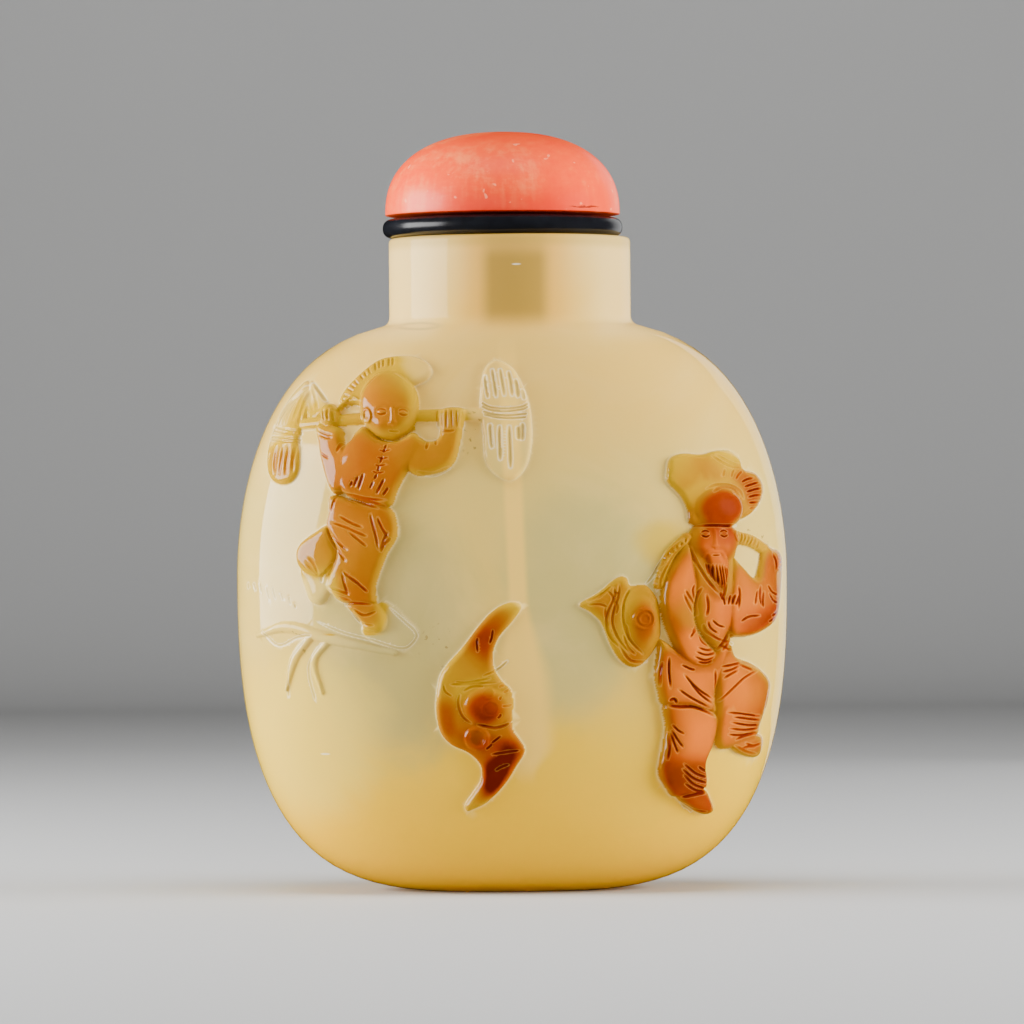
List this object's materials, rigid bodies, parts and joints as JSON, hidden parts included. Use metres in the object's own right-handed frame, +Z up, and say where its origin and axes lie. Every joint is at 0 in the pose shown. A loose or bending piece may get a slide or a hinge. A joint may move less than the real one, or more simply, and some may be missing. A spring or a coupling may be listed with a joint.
{
  "type": "snuff bottle",
  "caption": "Flattened rounded snuff bottle of carved agate with a domed coral stopper, a black collar and a spoon inside.",
  "frame": {"origin": "on the ground at the middle of the flat foot", "axes": "+Z up along the neck, -Y towards the carved front, +X to the right of a viewer in front"},
  "size_m": [0.049, 0.0306, 0.0675],
  "materials": {
    "agate": "polished translucent agate",
    "black_collar": "glossy black",
    "coral": "polished coral",
    "cork": "matt cork",
    "bone": "polished bone"
  },
  "bodies": {
    "root": {"bottle": "agate", "stopper_collar": "black_collar", "stopper_cap": "coral", "stopper_cork": "cork", "stopper_spoon": "bone"}
  },
  "joints": []
}
